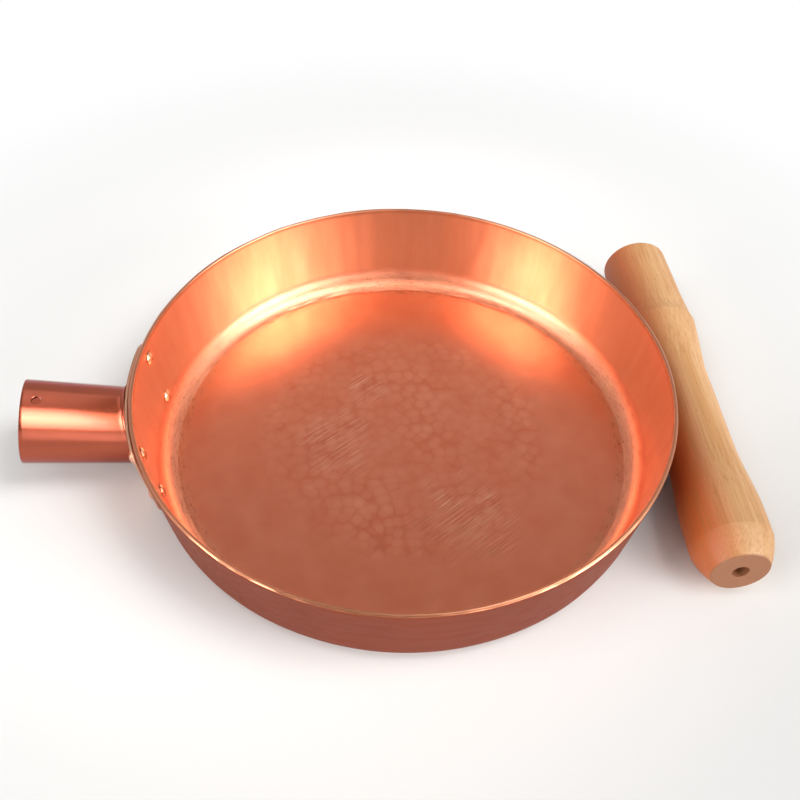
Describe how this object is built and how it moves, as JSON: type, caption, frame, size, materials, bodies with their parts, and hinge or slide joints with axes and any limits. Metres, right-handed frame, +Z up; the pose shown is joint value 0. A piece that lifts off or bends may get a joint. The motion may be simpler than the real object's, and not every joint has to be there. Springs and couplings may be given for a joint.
{
  "type": "frying pan",
  "caption": "Shallow round copper frying pan with a sloping tube socket riveted to its wall, and a turned wooden handle that plugs into the socket, lying loose beside it.",
  "frame": {"origin": "centre of the pan's flat underside, on the table", "axes": "+Z up; -X along the socket, whose axis lies in the XZ plane; the loose handle lies on the +X side, nearly along Y"},
  "size_m": [0.3202, 0.2398, 0.0495],
  "materials": {
    "hammered_copper": "copper sheet, spun and hammered, satin with brushed patches on the floor",
    "plate_copper": "copper plate, satin",
    "satin_copper": "drawn copper tube, satin, faint lines along its length",
    "rivet_copper": "copper rivet heads, polished by the hammer",
    "turned_wood": "pale straight-grained hardwood, turned and sanded, bare"
  },
  "bodies": {
    "pan": {"pan_body": "hammered_copper", "mounting_plate": "plate_copper", "handle_socket": "satin_copper", "rivet_lower_rear": "rivet_copper", "rivet_lower_front": "rivet_copper", "rivet_upper_rear": "rivet_copper", "rivet_upper_front": "rivet_copper"},
    "handle": {"wooden_handle": "turned_wood"}
  },
  "joints": [
    {"name": "handle_lift", "type": "slide", "parent": "pan", "child": "handle", "axis": [0.7071, 0, 0.7071], "range_m": [0, 0.15]}
  ]
}
